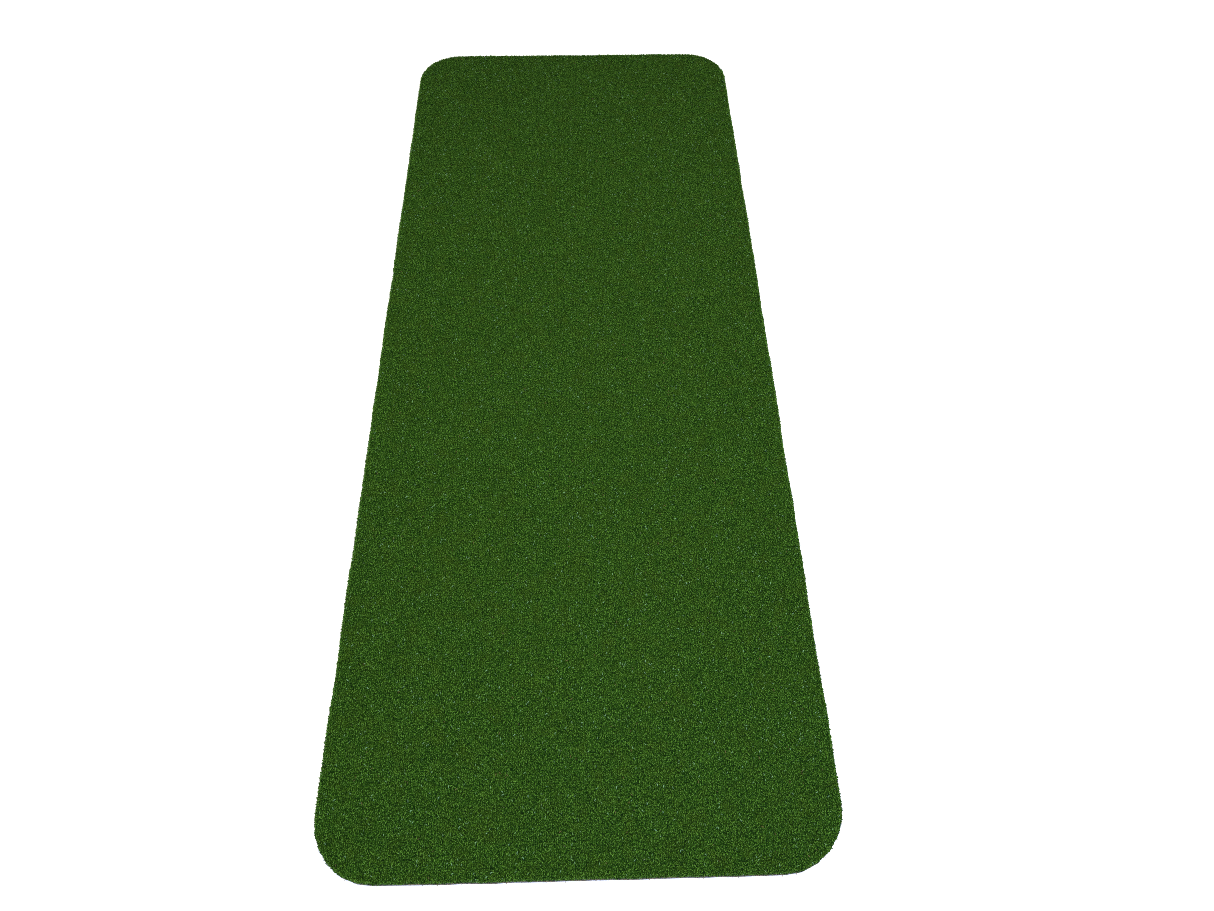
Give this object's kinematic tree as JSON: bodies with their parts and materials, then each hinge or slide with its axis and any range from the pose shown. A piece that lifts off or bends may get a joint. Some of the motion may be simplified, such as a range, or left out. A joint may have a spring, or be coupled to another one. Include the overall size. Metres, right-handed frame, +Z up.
{
  "type": "golf hitting mat",
  "caption": "Long, thin rectangular golf hitting mat with rounded corners: a dense green tufted pile over a woven backing, glued to a foam pad.",
  "frame": {"origin": "on the floor, under the middle of the mat", "axes": "+Y along the mat's length, +X across it, +Z up out of the pile"},
  "size_m": [1.2192, 3.048, 0.0247],
  "materials": {
    "pile_yarn": "dense curled nylon pile, dark green, dull with small glints",
    "woven_backing": "plain woven polypropylene tape, tan",
    "fleece": "needled fleece, off white",
    "latex": "rolled latex coat, dark and dull",
    "foam": "closed-cell foam, black, fine waffle print underneath"
  },
  "bodies": {
    "root": {"tuft_rows_001_032": "pile_yarn", "tuft_rows_033_064": "pile_yarn", "tuft_rows_065_096": "pile_yarn", "tuft_rows_097_128": "pile_yarn", "tuft_rows_129_160": "pile_yarn", "tuft_rows_161_192": "pile_yarn", "tuft_rows_193_224": "pile_yarn", "tuft_rows_225_256": "pile_yarn", "primary_backing": "woven_backing", "backing_fleece": "fleece", "tuft_lock_coating": "latex", "foam_pad": "foam"}
  },
  "joints": []
}
